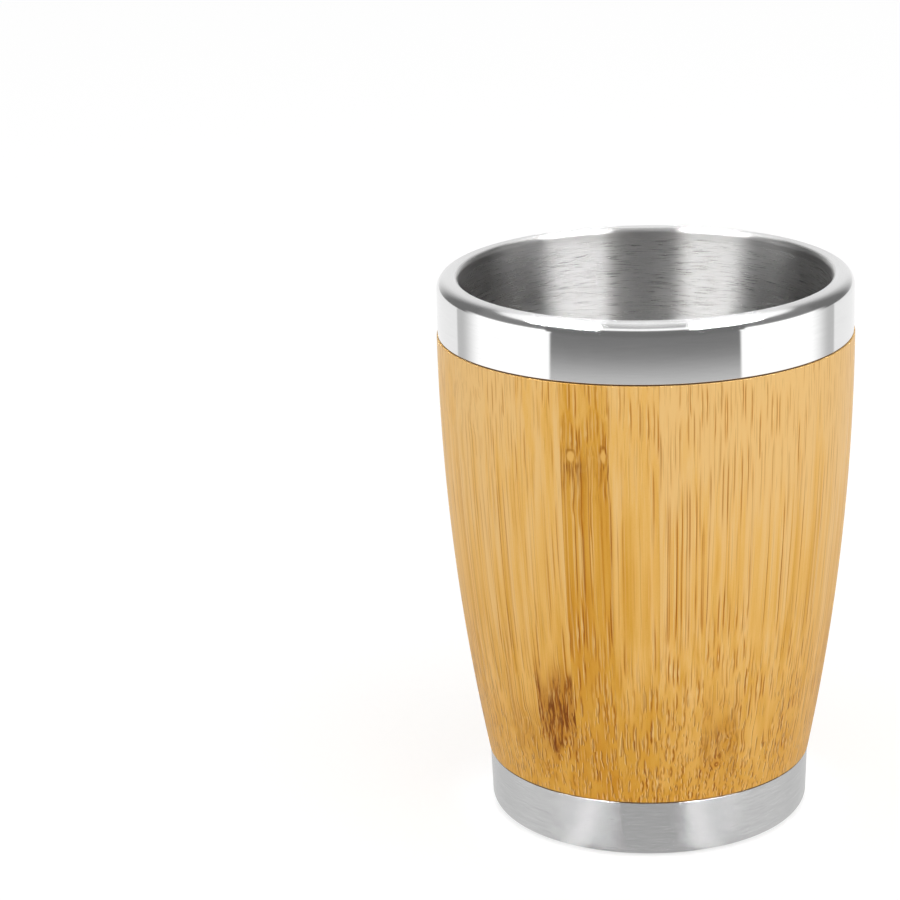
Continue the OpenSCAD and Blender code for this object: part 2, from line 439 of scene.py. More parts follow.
def brushed_steel(name, colour, roughness, depth, look, fine_scale):
    """Steel brushed round and round, which draws highlights out into upright streaks."""
    material, shader = new_material(name)
    relief, streaks = brushed_relief(shader, shader.millimetres(), fine_scale, 1.6)
    shader.surface(
        Base_Color=shader.blend(streaks, rgba(colour, 0.88), rgba(colour, 1.1)),
        Metallic=1.0,
        Roughness=roughness + (streaks - 0.5) * 0.08,
        Normal=shader.bump(relief, depth),
        Anisotropic=look.anisotropy,
        Anisotropic_Rotation=BRUSH_TURN,
    )
    return material


def stave_wood(shader):
    """Where a place on the face lies in its stave's own wood, in which the fibres run straight up."""
    at = SimpleNamespace()
    at.place = shader.millimetres()
    at.z = shader.split(at.place)[2]
    at.side = shader.dot(at.place, shader.vector_of("stave_side"))
    at.seed = shader.value_of("stave_seed")
    at.swell = shader.value_of("node_swell")

    # The fibres lie flush with the turned face at one height, and are cut more steeply away from it
    out = shader.dot(at.place, shader.vector_of("stave_out"))
    at.from_level = at.z - shader.value_of("level_height")
    bend = shader.value_of("fibre_bend") * shader.smooth(-10.0, 10.0, at.from_level, 1.0, 0.1)
    depth = out - at.z * shader.value_of("fibre_lean") - at.from_level * at.from_level * bend

    # At a node they bend outwards and sway sideways
    sway = shader.noise(shader.point(at.side * 0.3, at.z * 0.14, at.seed), detail=1.0) - 0.5
    at.from_node = abs(at.z - shader.value_of("node_height") + sway * NODE_REACH)
    at.near_node = shader.smooth(0.0, NODE_REACH, at.from_node, 1.0, 0.0) * at.swell
    drift = shader.noise(shader.point(at.side * 0.25, at.z * 0.03, at.seed + 7), detail=1.0) - 0.5
    at.depth = depth + at.near_node * NODE_BEND + drift * 0.6
    at.across = at.side + drift * 0.3 + sway * at.near_node * 2.4
    return at


def fibre_bundles(shader, at):
    """The bundles as cells of a pattern across the wood: dark lines with a pale stroke between, and painted
    shade and painted highlight on the two sides of each bundle.
    """
    spacing = shader.value_of("bundle_spacing")
    cell_x = at.across / spacing + at.seed * 13
    cell_place = shader.point(cell_x, at.depth / spacing + at.seed * 5)
    settings = {"voronoi_dimensions": "2D", "feature": "F1"}
    inputs = {"Vector": cell_place, "Scale": 1.0, "Randomness": 0.8}
    distance = shader.node("ShaderNodeTexVoronoi", settings, inputs, "Distance") * spacing
    middle = shader.node("ShaderNodeTexVoronoi", settings, inputs, "Position")
    cell = shader.node("ShaderNodeTexVoronoi", settings, inputs, "Color")
    cell_size, cell_dark, cell_turn = shader.split(cell)
    radius = cell_size * BUNDLE_R_SPREAD + BUNDLE_R

    # The lines are rings where the face cuts steeply, at the foot, and run straight further up
    offset = (cell_x - shader.split(middle)[0]) * spacing
    straight = shader.smooth(15.0, 50.0, at.z, 0.3, 0.9)
    span = distance + (abs(offset) - distance * 1.1) * straight
    line = shader.smooth(LINE_MIDDLE, LINE_EDGE, abs(span - radius * 0.9), 1.0, 0.0)
    line = line * shader.smooth(0.3, 0.05, distance - radius)

    # Painted shade and painted highlight: one line is dark and the other pale, as if each bundle stood out
    # lit from one side; the dark one is more often on the right, and it also carries the fibre's own dark
    # colour
    painted_light_side = offset / radius * shader.smooth(0.25, 0.45, cell_turn, -1.0, 1.0)
    patch = shader.noise(shader.point(at.side * 0.25, at.z * 0.05, at.seed + 3), detail=2.0)
    strength = (cell_dark * 0.8 + 0.35) * shader.value_of("fibre_contrast")
    strength = strength * shader.smooth(0.34, 0.6, patch, 0.3, 1.0)
    core_share = shader.smooth(0.3, 0.7, cell_size, 0.1, 0.8) * shader.smooth(15.0, 45.0, at.z, 0.4, 1.0)
    # dark is the fibre's own colour with its painted shade side, pale is its painted highlight side
    return SimpleNamespace(
        dark=line * shader.smooth(-0.7, 0.5, painted_light_side, 0.25, 1.0),
        pale=line * shader.smooth(-1.0, -0.2, painted_light_side, 1.0, 0.0),
        core=shader.smooth(0.05, 0.2, radius - distance),
        core_share=core_share,
        warmth=shader.smooth(0.5, 0.0, distance - radius),
        strength=strength * shader.smooth(30.0, 85.0, at.z, 1.0, 0.8),
    )


def fine_fibres(shader, at, low, high, shift=0.0):
    """Finer fibres between the bundles, densest towards the foot; shifted sideways, they paint a highlight
    beside each dark dash.
    """
    lines = shader.point((at.across + shift) * 2.3, at.depth * 1.3, at.seed + 11)
    found = shader.noise(lines, detail=1.5, roughness=0.6)
    return shader.smooth(low, high, found) * shader.smooth(22.0, 52.0, at.z, 1.0, 0.3)


def wood_layers(shader, look, at):
    """Layers of paler and darker wood, cut by the turned face as the fibres are, over a tone that is paler
    towards the top, partly a painted soft highlight; and their grain.
    """
    tone_of_stave = shader.value_of("stave_tone")
    flat = shader.smooth(12.0, 38.0, abs(at.from_level), 1.0, 0.4)
    grain = shader.point(at.across * 3.2, at.depth * 2.0, at.z * 0.02)
    grain = shader.noise(grain, detail=3.0, roughness=0.6) - 0.5
    band = shader.point(at.across * 0.42, at.depth * 0.5 + at.seed * 3, at.z * 0.006)
    band = shader.noise(band, detail=3.0) - 0.5
    cloud = shader.noise(shader.point(at.side * 0.22, at.z * 0.045, at.seed + 9), detail=2.0) - 0.5
    speck = shader.noise(at.place, scale=4.0, detail=2.0) - 0.5
    # Paler towards the top, partly the wood's own tone and partly a painted soft highlight
    tone = tone_of_stave + (PALEST_Z - at.z) * DARKER_PER_MM * (1 - tone_of_stave) + at.near_node * 0.06
    tone = tone + (band * 1.7 + grain * 0.5) * flat + speck * 0.15 + cloud * 0.4
    stops = [
        (0.0, rgba(look.straw)),
        (0.22, rgba(look.wheat)),
        (0.6, rgba(look.honey)),
        (1.0, rgba(look.amber)),
    ]
    return shader.node("ShaderNodeValToRGB", {"stops": stops}, {"Fac": tone}, "Color"), grain


def bamboo(look):
    """Carbonised bamboo: a pattern that runs through the wood and is cut by the turned surface."""
    material, shader = new_material("lacquered_bamboo")
    at = stave_wood(shader)
    bundles = fibre_bundles(shader, at)
    dash = fine_fibres(shader, at, 0.57, 0.66)
    # Painted highlight on the lit side of each dark dash
    painted_highlight_dash = fine_fibres(shader, at, 0.58, 0.68, PAINTED_HIGHLIGHT_SHIFT)
    wood, grain = wood_layers(shader, look, at)

    # Scorched streaks in a brown haze, and the thin pale line that crosses a stave at its node
    stained = shader.value_of("node_stain")
    streak = shader.point(at.across * 1.5, at.z * 0.14, at.seed + 4)
    streak = shader.noise(streak, detail=3.0, roughness=0.7)
    halo = shader.smooth(2.0, 14.0, at.from_node, 1.0, 0.0) * stained
    scorch = shader.smooth(0.50, 0.58, streak) * shader.smooth(3.0, 9.0, at.from_node, 1.0, 0.0) * stained
    ridge = shader.smooth(0.0, 1.2, at.from_node, 1.0, 0.0) * at.swell

    strength = shader.math("MINIMUM", bundles.strength + halo * 0.4, 1.0)
    wood = shader.blend(bundles.warmth * strength * 0.7, wood, rgba(look.glow), "MULTIPLY")
    # Painted highlight beside each dark fibre dash
    wood = shader.blend(painted_highlight_dash * 0.7, wood, rgba(look.pith_and_highlight))
    wood = shader.blend(dash * 0.75, wood, rgba(look.fibre), "MULTIPLY")
    wood = shader.blend(bundles.core * strength * bundles.core_share, wood, rgba(look.pith_and_highlight))
    # Painted highlight and painted shade on the two sides of each bundle; the dark side is also the fibre's
    # own colour
    wood = shader.blend(bundles.pale * strength, wood, rgba(look.pith_and_highlight))
    wood = shader.blend(bundles.dark * strength, wood, rgba(look.fibre), "MULTIPLY")
    wood = shader.blend(ridge * 0.1, wood, rgba(look.pith_and_highlight))
    wood = shader.blend(halo * (streak * 0.8 + 0.4), wood, rgba(look.haze), "MULTIPLY")
    wood = shader.blend(scorch * 0.9, wood, rgba(look.stain))
    for name, slimness in (("left_knot", 1.4), ("right_knot", 2.6)):
        wood = add_knot(shader, look, wood, at, shader.vector_of(name), slimness)
    shader.surface(
        Base_Color=wood,
        Roughness=look.roughness + grain * 0.1,
        Specular_IOR_Level=look.shine,
        Coat_Weight=look.coat,
        Coat_Roughness=look.coat_roughness,
        Normal=shader.bump(grain * 0.5 + bundles.core * strength, 0.02 * MM, 0.15),
    )
    return material


def add_knot(shader, look, wood, at, knot, slimness):
    """A bud scar: a pale oval with a brown outline and dark strokes under it."""
    knot_side, knot_z, knot_size = shader.split(knot)
    wobble = shader.noise(shader.point(at.side * 0.9, at.z * 0.5, knot_z), detail=2.0) - 0.5
    across = (at.side - knot_side) / shader.math("MAXIMUM", knot_size, 0.01)
    along = (at.z - knot_z) / shader.math("MAXIMUM", knot_size * slimness, 0.01)
    reach = shader.math("SQRT", across * across + along * along) + wobble * 0.9
    shown = shader.smooth(0.1, 0.3, knot_size)
    edge = shader.smooth(0.05, 0.35, abs(reach - 1), 1.0, 0.0) * shown
    below = shader.window(0 - along, 0.4, 1.4, 2.0, 7.0) * shown
    stroke = shader.noise(shader.point(at.side * 1.8, at.z * 0.12, knot_z), detail=2.0)
    stroke = shader.smooth(0.48, 0.62, stroke) * below * shader.smooth(1.2, 3.2, abs(across), 1.0, 0.0)
    wood = shader.blend(shader.smooth(1.0, 0.5, reach) * shown * 0.8, wood, rgba(look.wheat))
    edge_share = shader.smooth(1.0, -0.6, along, 0.45, 0.15)
    wood = shader.blend(edge * edge_share, wood, rgba(look.fibre), "MULTIPLY")
    return shader.blend(stroke * 0.8, wood, rgba(look.fibre), "MULTIPLY")


def plain_material(name, colour, roughness, grain_scale, grain_depth):
    """A moulded or foamed material with a fine grain."""
    material, shader = new_material(name)
    grain = shader.noise(shader.millimetres(), scale=grain_scale, detail=3.0)
    shader.surface(
        Base_Color=shader.blend(grain, rgba(colour, 0.9), rgba(colour)),
        Roughness=roughness + (grain - 0.5) * 0.1,
        Normal=shader.bump(grain, grain_depth, 0.5),
    )
    return material


def keep_piece(mesh_data, name, material, node):
    """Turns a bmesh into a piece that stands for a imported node."""
    if not mesh_data.faces:
        raise RuntimeError(f"{name} has no faces")
    mesh = bpy.data.meshes.new(name)
    mesh_data.to_mesh(mesh)
    mesh_data.free()
    mesh.shade_smooth()
    mesh.set_sharp_from_angle(angle=SHARP_EDGE)
    mesh.materials.append(material)
    piece = bpy.data.objects.new(name, mesh)
    bpy.context.scene.collection.objects.link(piece)
    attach(piece, BODY)
    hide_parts(node)
    return piece


def outline(corners):
    """A half section as one face; a corner is a radius, a height and how far it is rounded."""
    section = bmesh.new()
    points = [section.verts.new((radius, 0, height)) for radius, height, _ in corners]
    section.faces.new(points)
    for point, (_, _, rounding) in zip(points, corners):
        if rounding:
            one, other = [(edge.other_vert(point).co - point.co) for edge in point.link_edges]
            reach = rounding / math.tan(one.angle(other) / 2)
            bmesh.ops.bevel(
                section,
                geom=[point],
                offset=reach,
                offset_type="OFFSET",
                segments=ROUNDING_STEPS,
                profile=0.5,
                affect="VERTICES",
                material=-1,
            )
    return section


def turn_round(section):
    """Spins a half section all the way round and closes it on the axis."""
    bmesh.ops.delete(section, geom=section.faces[:], context="FACES_ONLY")
    on_axis = [edge for edge in section.edges if max(abs(vert.co.x) for vert in edge.verts) < TOUCHING]
    bmesh.ops.delete(section, geom=on_axis, context="EDGES")
    bmesh.ops.spin(
        section,
        geom=section.verts[:] + section.edges[:],
        cent=(0, 0, 0),
        axis=UP,
        dvec=(0, 0, 0),
        angle=TURN,
        steps=TURN_STEPS,
        use_merge=True,
    )
    bmesh.ops.remove_doubles(section, verts=section.verts[:], dist=TOUCHING)
    bmesh.ops.recalc_face_normals(section, faces=section.faces[:])
    return section


def cup_inside(size):
    """The inner cup's inside: its radii at mouth and floor, its floor's height and its wall's lean."""
    mouth = COLLAR_R - size.rim_width
    floor_r = BASE_R - size.foot_wall
    floor_z = CUP_LOW_Z + size.cup_wall
    return mouth, floor_r, floor_z, math.atan((mouth - floor_r) / (CUP_SEAT_Z - floor_z))


def bamboo_seats(size):
    """Radii of the bamboo's tongue inside the collar and of its spigot inside the base."""
    return (
        COLLAR_R - size.collar_wall - size.seat_gap,
        BASE_R - size.base_wall - size.seat_gap,
    )


def collar_section(size):
    """An upside-down channel: it is rolled over the lip and turned down inside the mouth."""
    outer = COLLAR_R
    inner = COLLAR_R - size.rim_width
    wall = size.collar_wall
    cut = size.rolled_edge
    return outline([
        (outer, COLLAR_LOW_Z, cut),
        (outer, LIP_Z, size.lip_shoulder),
        (inner, LIP_Z, size.lip_edge),
        (inner, CUP_SEAT_Z, 0),
        (inner + wall, CUP_SEAT_Z, 0),
        (inner + wall, LIP_Z - wall, size.lip_edge - wall),
        (outer - wall, LIP_Z - wall, size.lip_shoulder - wall),
        (outer - wall, COLLAR_LOW_Z, cut),
    ])


def inner_cup_section(size):
    """A tapered pan with a raised panel in its floor and a flange at its mouth."""
    wall = size.cup_wall
    mouth, floor_r, floor_z, lean = cup_inside(size)
    wider = wall / math.cos(lean)
    low_r = floor_r - wall * math.tan(lean) + wider
    flange_low_z = CUP_SEAT_Z - wall
    flange_low_r = mouth - wall * math.tan(lean) + wider
    flat_r = floor_r + size.floor_corner * (math.tan(lean) - 1 / math.cos(lean))
    panel_r = flat_r - size.floor_ring
    rise = size.panel_rise
    soft = size.panel_edge
    return outline([
        (0, floor_z + rise, 0),
        (panel_r - rise, floor_z + rise, soft + wall),
        (panel_r, floor_z, soft),
        (floor_r, floor_z, size.floor_corner),
        (mouth, CUP_SEAT_Z, 0),
        (FLANGE_R, CUP_SEAT_Z, 0),
        (FLANGE_R, flange_low_z, 0),
        (flange_low_r, flange_low_z, wall),
        (low_r, CUP_LOW_Z, size.floor_corner + wall),
        (panel_r - wall, CUP_LOW_Z, soft),
        (panel_r - wall - rise, CUP_LOW_Z + rise, soft),
        (0, CUP_LOW_Z + rise, 0),
    ])


def base_section(size):
    """A shallow pan with a recess pressed up inside its foot ring."""
    wall = size.base_wall
    low_r = BASE_R - size.base_taper / 2
    recess_r = low_r - size.foot_width
    depth = size.recess_depth
    soft = size.panel_edge
    cut = size.rolled_edge
    return outline([
        (0, depth, 0),
        (recess_r - depth, depth, soft),
        (recess_r, 0, soft),
        (low_r, 0, size.base_corner),
        (BASE_R, BASE_HIGH_Z, cut),
        (BASE_R - wall, BASE_HIGH_Z, cut),
        (low_r - wall, wall, size.base_corner - wall),
        (recess_r + wall, wall, soft),
        (recess_r + wall - depth, wall + depth, soft),
        (0, wall + depth, 0),
    ])


def bead_section(node, inner_r, outer_r):
    """A thin ring of glue with a rounded edge."""
    low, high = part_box(node)
    soft = (high.z - low.z) * 0.45
    return outline([
        (inner_r, low.z, 0),
        (outer_r, low.z, soft),
        (outer_r, high.z, soft),
        (inner_r, high.z, 0),
    ])


def stave_section(size):
    """Half section of the bamboo, with the long bowed face between its two shoulders."""
    low_r = BASE_R + size.shell_proud
    high_r = COLLAR_R + size.shell_proud
    ease = size.edge_ease
    low = Vector((low_r, 0, JOINT_LOW_Z + ease))
    high = Vector((high_r, 0, JOINT_HIGH_Z - ease))
    chord = high - low
    middle = (low + high) / 2
    across = Vector((chord.z, 0, -chord.x)).normalized()
    centre = middle - across * math.sqrt(size.side_radius ** 2 - chord.length_squared / 4)
    sweep = 2 * math.asin(chord.length / 2 / size.side_radius)

    mouth, _, _, lean = cup_inside(size)
    bore = size.liner_stack / math.cos(lean)
    bore_high = mouth - (CUP_SEAT_Z - TONGUE_Z) * math.tan(lean) + bore
    bore_low = mouth - (CUP_SEAT_Z - SPIGOT_Z) * math.tan(lean) + bore
    tongue_r, spigot_r = bamboo_seats(size)

    section = bmesh.new()
    start = section.verts.new(low)
    bmesh.ops.spin(
        section,
        geom=[start],
        cent=centre,
        axis=(0, 1, 0),
        dvec=(0, 0, 0),
        angle=-sweep,
        steps=SIDE_STEPS,
        use_merge=False,
    )
    section.verts.ensure_lookup_table()
    face_line = sorted(section.verts, key=lambda vert: vert.co.z)
    rest = [
        (high_r - ease, JOINT_HIGH_Z),
        (tongue_r, JOINT_HIGH_Z),
        (tongue_r, TONGUE_Z),
        (bore_high, TONGUE_Z),
        (bore_low, SPIGOT_Z),
        (spigot_r - size.base_corner, SPIGOT_Z),
        (spigot_r - size.base_taper / 2, SPIGOT_Z + size.base_corner),
        (spigot_r, JOINT_LOW_Z),
        (low_r - ease, JOINT_LOW_Z),
    ]
    others = [section.verts.new((radius, 0, height)) for radius, height in rest]
    section.faces.new(face_line + others)
    return section


def stave_mesh(size, index):
    """One stave: the section swept through its share of the circle, with eased long edges."""
    section = stave_section(size)
    film = size.glue_film / BASE_R
    start = -TURN / 4 + size.first_joint + index * PITCH + film / 2
    turned = Matrix.Rotation(start, 3, "Z")
    bmesh.ops.rotate(section, verts=section.verts[:], cent=(0, 0, 0), matrix=turned)
    bmesh.ops.delete(section, geom=section.faces[:], context="FACES_ONLY")
    bmesh.ops.spin(
        section,
        geom=section.verts[:] + section.edges[:],
        cent=(0, 0, 0),
        axis=UP,
        dvec=(0, 0, 0),
        angle=PITCH - film,
        steps=STAVE_STEPS,
        use_merge=False,
    )
    ends = [edge for edge in section.edges if edge.is_boundary]
    caps = bmesh.ops.holes_fill(section, edges=ends, sides=0)["faces"]
    bmesh.ops.recalc_face_normals(section, faces=section.faces[:])
    long_edges = [
        edge
        for cap in caps
        for edge in cap.edges
        if min(vert.co.to_2d().length for vert in edge.verts) > BASE_R
        and min(vert.co.z for vert in edge.verts) > JOINT_LOW_Z + MM * 0.1
        and max(vert.co.z for vert in edge.verts) < JOINT_HIGH_Z - MM * 0.1
    ]
    bmesh.ops.bevel(
        section,
        geom=long_edges,
        offset=size.joint_ease,
        offset_type="OFFSET",
        segments=1,
        profile=0.5,
        affect="EDGES",
        clamp_overlap=True,
        material=-1,
    )
    return section


def stave_traits(index):
    """How one stave looks: listed one by one in front, counted from the middle, and by chance elsewhere."""
    chance = random.Random(index + 40)
    traits = {
        "stave_tone": chance.uniform(-0.1, 0.35),
        "stave_seed": chance.uniform(1, 9),
        "fibre_lean": 0.097 + chance.uniform(-0.01, 0.01),
        "level_height": 62 + chance.uniform(-9, 9),
        "fibre_bend": chance.uniform(0.0014, 0.0028),
        "fibre_contrast": chance.uniform(0.55, 1.0),
        "bundle_spacing": chance.uniform(0.95, 1.3),
        "node_height": chance.choice([22, 26, 90, 94, 150]) + chance.uniform(-3, 3),
        "node_swell": chance.uniform(0.5, 1.0),
        "node_stain": chance.choice([0, 0, 0, 0.5]),
        "left_knot": (0, 0, 0),
        "right_knot": (0, 0, 0),
    }
    columns = ("stave_tone", "node_height", "node_swell", "node_stain", "fibre_contrast")
    by_hand = {
        -5: (-0.1, 92, 0.9, 0, 0.55),
        -4: (0.03, 25, 1.0, 0.2, 0.7),
        -3: (0.2, 31, 0.7, 1.0, 0.8),
        -2: (0.54, 85, 0.5, 0.15, 0.9),
        -1: (0.2, 18, 0.4, 0, 1.0),
        0: (-0.03, 150, 0.0, 0, 1.0),
        1: (-0.05, 26, 1.0, 0.35, 1.0),
        2: (-0.12, 21, 1.0, 0, 0.9),
        3: (0.0, 150, 0.0, 0, 0.9),
        4: (-0.15, 18, 0.6, 0, 0.6),
    }
    bud_scars = {
        "level_height": 80,
        "fibre_bend": 0.0013,
        "left_knot": (-2.75, 88, 1.0),
        "right_knot": (3.9, 88.5, 0.7),
    }
    place = index if index < len(STAVES) / 2 else index - len(STAVES)
    if place in by_hand:
        traits.update(zip(columns, by_hand[place]))
    if place == SCARRED_STAVE:
        traits.update(bud_scars)
    return traits


def set_traits(piece, index, size):
    """Stores a stave's traits and its two directions on its mesh."""
    mesh = piece.data
    middle = size.first_joint + (index + 0.5) * PITCH
    traits = {
        "stave_side": (math.cos(middle), math.sin(middle), 0),
        "stave_out": (math.sin(middle), -math.cos(middle), 0),
        **stave_traits(index),
    }
    for name, value in traits.items():
        if isinstance(value, tuple):
            attribute = mesh.attributes.new(name, "FLOAT_VECTOR", "POINT")
            attribute.data.foreach_set("vector", value * len(mesh.vertices))
        else:
            attribute = mesh.attributes.new(name, "FLOAT", "POINT")
            attribute.data.foreach_set("value", [value] * len(mesh.vertices))


class CUP_OT_collar(bpy.types.Operator):
    """Model the steel collar round the mouth"""

    bl_idname = "cup.collar"
    bl_label = "Collar"

    def execute(self, context):
        size = sizes()
        finish = collar_steel(context.scene.steel_look, COLLAR_R - size.rim_width)
        collar = turn_round(collar_section(size))
        keep_piece(collar, "polished_collar", finish, "rim_collar")
        return {"FINISHED"}


class CUP_OT_inner_cup(bpy.types.Operator):
    """Model the brushed steel inner cup"""

    bl_idname = "cup.inner_cup"
    bl_label = "Inner cup"

    def execute(self, context):
        look = context.scene.steel_look
        depth = look.brush_depth
        finish = brushed_steel("brushed_steel", look.brushed, look.brushed_roughness, depth, look, 7.0)
        inner = turn_round(inner_cup_section(sizes()))
        keep_piece(inner, "brushed_inner_cup", finish, "inner_cup")
        return {"FINISHED"}


class CUP_OT_base(bpy.types.Operator):
    """Model the satin steel base"""

    bl_idname = "cup.base"
    bl_label = "Base"

    def execute(self, context):
        look = context.scene.steel_look
        depth = look.brush_depth * 0.25
        finish = brushed_steel("satin_steel", look.satin, look.satin_roughness, depth, look, 10.0)
        base = turn_round(base_section(sizes()))
        keep_piece(base, "satin_base", finish, "base_cover")
        return {"FINISHED"}


class CUP_OT_glue_lines(bpy.types.Operator):
    """Model the two glue lines between steel and bamboo"""

    bl_idname = "cup.glue_lines"
    bl_label = "Glue lines"

    def execute(self, context):
        size = sizes()
        glue = plain_material("brown_glue", context.scene.hidden_look.glue, 0.35, 2.0, 0.02 * MM)
        tongue_r, spigot_r = bamboo_seats(size)
        high = turn_round(bead_section("collar_bead", tongue_r, COLLAR_R - size.bead_inset))
        keep_piece(high, "collar_glue_line", glue, "collar_bead")
        low = turn_round(bead_section("base_bead", spigot_r, BASE_R - size.bead_inset))
        keep_piece(low, "base_glue_line", glue, "base_bead")
        return {"FINISHED"}


class CUP_OT_staves(bpy.types.Operator):
    """Model the bamboo staves"""

    bl_idname = "cup.staves"
    bl_label = "Staves"

    def execute(self, context):
        size = sizes()
        wood = bamboo(context.scene.bamboo_look)
        for index, node in enumerate(STAVES):
            name = node.replace("stave", "strip")
            piece = keep_piece(stave_mesh(size, index), name, wood, node)
            set_traits(piece, index, size)
        return {"FINISHED"}


class CUP_OT_hidden_parts(bpy.types.Operator):
    """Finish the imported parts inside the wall"""

    bl_idname = "cup.hidden_parts"
    bl_label = "Hidden parts"

    def execute(self, context):
        look = context.scene.hidden_look
        finishes = {
            "mouth_seal": plain_material("silicone", look.seal, 0.45, 1.0, 0.01 * MM),
            "insulating_liner": plain_material("liner_plastic", look.liner, 0.4, 0.6, 0.02 * MM),
            "floor_pad": plain_material("foam", look.pad, 0.9, 4.0, 0.2 * MM),
        }
        for node, material in finishes.items():
            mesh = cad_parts[node].data
            mesh.materials.clear()
            mesh.materials.append(material)
        return {"FINISHED"}


def stage_piece(name, mesh_data, material):
    """Turns a bmesh into a piece of the studio, which isn't part of the cup."""
    mesh = bpy.data.meshes.new(name)
    mesh_data.to_mesh(mesh)
    mesh_data.free()
    mesh.materials.append(material)
    piece = bpy.data.objects.new(name, mesh)
    bpy.context.scene.collection.objects.link(piece)


def floor_material(look):
    """A floor that is white with the cup's soft shadow to the camera, and that glows for reflection rays
    only, as a painted reflection of a lit table in the steel.
    """
    material, shader = new_material("pale_floor")
    seen = shader.math("MAXIMUM", shader.light_path("Camera"), shader.light_path("Transmission"))

    # Painted reflection: for reflection rays the floor glows darker towards the camera and white at both
    # sides, so the steel mirrors a lit table
    place = shader.node("ShaderNodeTexCoord", None, None, "Object")
    x, y, _ = shader.split(place)
    bearing = shader.math("ARCTAN2", x, 0 - y) * DEGREES
    turn = abs(bearing)
    radius = shader.math("SQRT", x * x + y * y)
    front = shader.smooth(0.30, 0.46, radius, 0.74, 0.20)
    side = shader.smooth(96.0, 116.0, turn, 1.3, 0.6)
    far = front + shader.smooth(49.5, 51.5, turn) * (side - front)
    far = far + shader.smooth(119.5, 121.5, turn) * (0.98 - far)

    # Close to the cup that glow paints the two soft gleams that stand in the base
    from_gleam = abs(abs(bearing + 3) - 26)
    close = shader.smooth(10.0, 45.0, turn, 0.56, 0.75) + shader.smooth(1.0, 8.0, from_gleam, 0.3, 0.0)
    level = close + shader.smooth(0.10, 0.26, radius) * (far - close)

    lit = shader.node("ShaderNodeBsdfDiffuse", None, {"Color": rgba(look.floor)})
    half_lit = shader.node("ShaderNodeBsdfDiffuse", None, {"Color": rgba(look.floor, 0.5)})
    glow = shader.node("ShaderNodeEmission", None, {"Color": rgba((1, 1, 1)), "Strength": 0.64})
    shown = shader.node("ShaderNodeAddShader", None, {0: half_lit, 1: glow})
    # Painted reflection: this glow is seen by reflection rays only
    mirrored = shader.node("ShaderNodeEmission", None, {"Color": level, "Strength": 1.0})
    mixed = shader.node("ShaderNodeMixShader", None, {0: seen, 1: lit, 2: shown})
    mixed = shader.node("ShaderNodeMixShader", None, {0: shader.light_path("Glossy"), 1: mixed, 2: mirrored})
    shader.node("ShaderNodeOutputMaterial", None, {"Surface": mixed})
    return material


def studio_world(look):
    """White behind the cup, plain light all round, and a room of panels and lamps in the steel."""
    world = bpy.data.worlds.new("studio")
    world.use_nodes = True
    bpy.context.scene.world = world
    shader = Shader(world.node_tree)
    direction = shader.node("ShaderNodeTexCoord", None, None, "Generated")
    x, y, z = shader.split(direction)
    turn = abs(shader.math("ARCTAN2", x, 0 - y)) * DEGREES
    lift = shader.math("ARCSINE", z) * DEGREES
    # The bearing on an upright round wall where this part of the studio is mirrored
    bearing = shader.math("ARCTAN2", abs(x), LEVEL_VIEW - y) * DEGREES

    room = shader.smooth(134.0, 166.0, turn, 0.19, 0.92)
    ceiling = shader.smooth(70.0, 80.0, lift, 0.0, 0.72)
    panel = shader.window(bearing, *PANEL_BEARING)
    panel = panel * shader.smooth(3.0, 14.0, lift, look.panel, 0.25)
    ring = shader.window(lift, *RING_LIFT) * look.ring

    # The strips stand in the ring, on the camera's side of the cup
    strips = shader.window(lift, *STRIP_LIFT) * shader.smooth(-0.1, 0.05, y, 1.0, 0.0)
    hot = shader.smooth(14.2, 17.0, bearing, look.hot_strip, look.strip)
    strip = shader.window(bearing, *STRIP_BEARING) * hot * strips
    edge = shader.window(bearing, *EDGE_STRIP_BEARING) * look.edge_strip * strips
    mirrored = room
    for part in (ceiling, panel, ring, strip, edge):
        mirrored = shader.math("MAXIMUM", mirrored, part)

    level = shader.light_path("Glossy") * (mirrored - look.sky) + look.sky
    level = shader.light_path("Camera") * (1 - level) + level
    background = shader.node("ShaderNodeBackground", None, {"Color": rgba((1, 1, 1)), "Strength": level})
    shader.node("ShaderNodeOutputWorld", None, {"Surface": background})


def softbox(name, turn, level):
    """A square lamp that faces the middle of the cup, as bright as level times white."""
    lamp = bpy.data.lights.new(name, "AREA")
    lamp.shape = "RECTANGLE"
    lamp.size = SOFTBOX_WIDTH
    lamp.size_y = SOFTBOX_WIDTH
    lamp.energy = level * math.pi * SOFTBOX_WIDTH * SOFTBOX_WIDTH
    away = math.cos(SOFTBOX_LIFT)
    back = Vector((math.sin(turn) * away, -math.cos(turn) * away, math.sin(SOFTBOX_LIFT)))
    placed = bpy.data.objects.new(name, lamp)
    placed.location = UP * LIP_Z / 2 + back * SOFTBOX_DISTANCE
    placed.rotation_euler = back.to_track_quat("Z", "Y").to_euler()
    placed.visible_camera = False
    placed.visible_glossy = False
    bpy.context.scene.collection.objects.link(placed)


